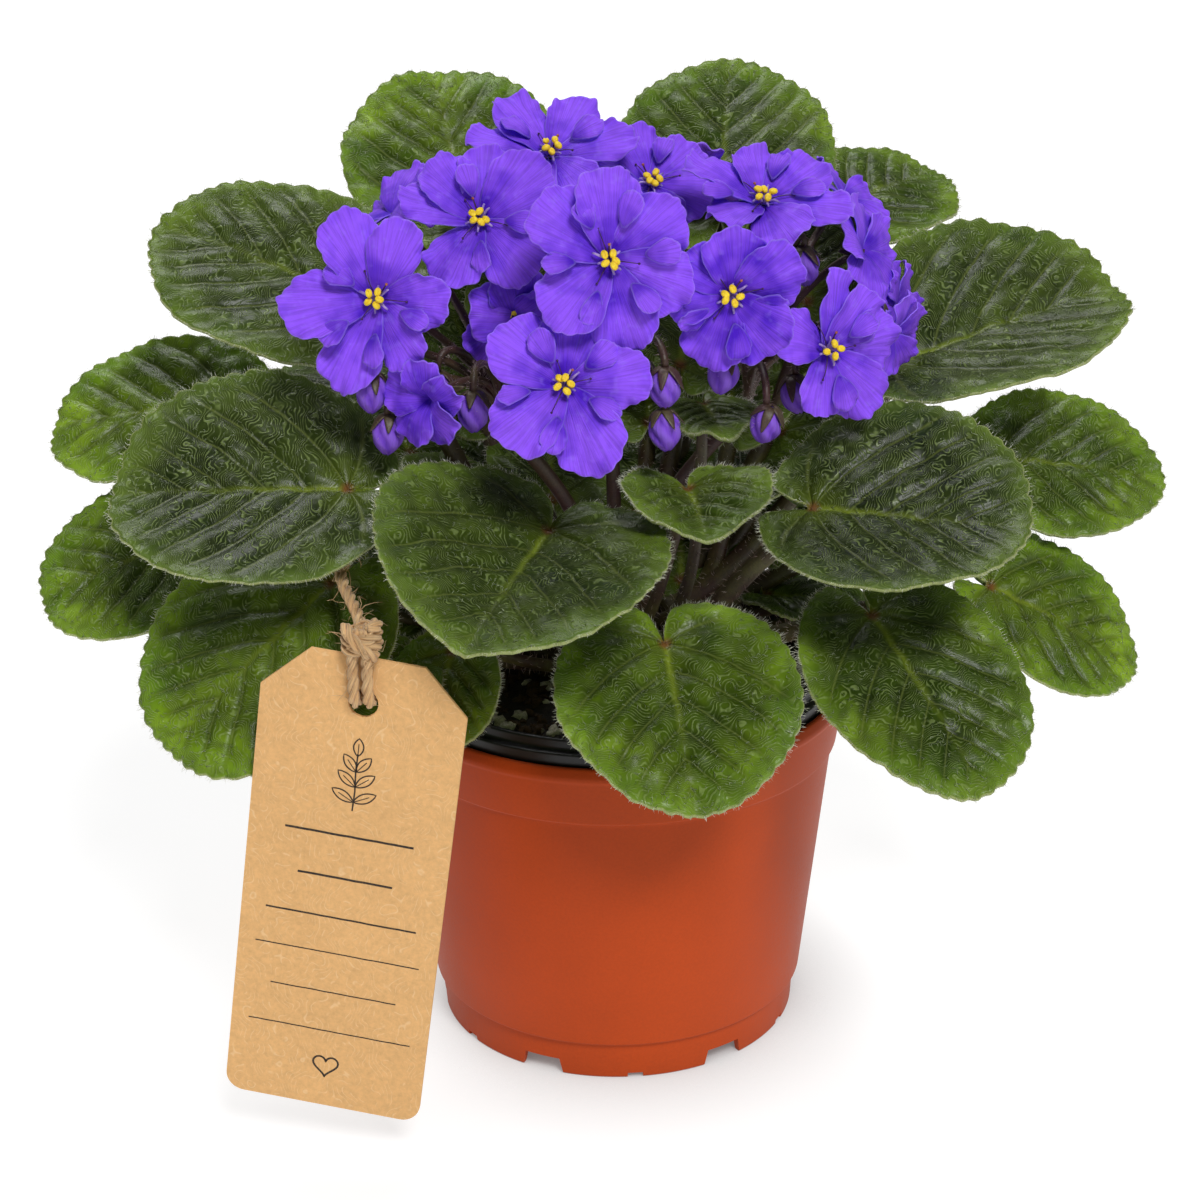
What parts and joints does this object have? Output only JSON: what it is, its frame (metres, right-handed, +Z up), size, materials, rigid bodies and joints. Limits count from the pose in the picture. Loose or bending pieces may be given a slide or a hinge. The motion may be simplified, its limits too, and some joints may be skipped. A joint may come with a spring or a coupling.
{
  "type": "potted african violet",
  "caption": "Rosette of downy scalloped leaves with a dome of violet blooms, in a round nursery pot with a hanging card tag.",
  "frame": {"origin": "on the floor under the middle of the pot's foot ring", "axes": "+Z up; -Y the front, where the tag hangs; +X to the right as seen from the front"},
  "size_m": [0.2534, 0.1815, 0.212],
  "materials": {
    "pot": "satin",
    "inner_pot": "satin",
    "potting_mix": "matte",
    "crown": "matte",
    "leaf": "satin",
    "spray": "matte",
    "bloom": "matte",
    "stamens": "matte",
    "tag": "matte",
    "twine": "matte"
  },
  "bodies": {
    "root": {"pot": "pot", "inner_pot": "inner_pot", "potting_mix": "potting_mix", "crown": "crown", "leaf_back_left": "leaf", "leaf_back_right": "leaf", "leaf_upper_left": "leaf", "leaf_upper_right": "leaf", "leaf_left": "leaf", "leaf_right": "leaf", "leaf_front": "leaf", "leaf_front_small": "leaf", "leaf_front_low": "leaf", "leaf_right_low": "leaf", "leaf_left_low": "leaf", "leaf_behind_tag": "leaf", "leaf_far_left": "leaf", "leaf_far_left_low": "leaf", "leaf_far_right": "leaf", "leaf_far_right_low": "leaf", "leaf_back_right_small": "leaf", "leaf_inner_small": "leaf", "leaf_rear_middle": "leaf", "leaf_rear_right": "leaf", "leaf_rear_left": "leaf", "leaf_rear_low": "leaf", "spray_left": "spray", "spray_middle": "spray", "spray_right": "spray", "bloom_01": "bloom", "bloom_02": "bloom", "bloom_03": "bloom", "bloom_04": "bloom", "bloom_05": "bloom", "bloom_06": "bloom", "bloom_07": "bloom", "bloom_08": "bloom", "bloom_09": "bloom", "bloom_10": "bloom", "bloom_11": "bloom", "bloom_12": "bloom", "bloom_13": "bloom", "bloom_14": "bloom", "bloom_15": "bloom", "bloom_16": "bloom", "bloom_17": "bloom", "bloom_18": "bloom", "stamens_01": "stamens", "stamens_02": "stamens", "stamens_03": "stamens", "stamens_07": "stamens", "stamens_08": "stamens", "stamens_09": "stamens", "stamens_10": "stamens", "stamens_12": "stamens", "stamens_13": "stamens", "stamens_14": "stamens", "tag": "tag", "twine": "twine", "twine_knot": "twine"}
  },
  "joints": []
}
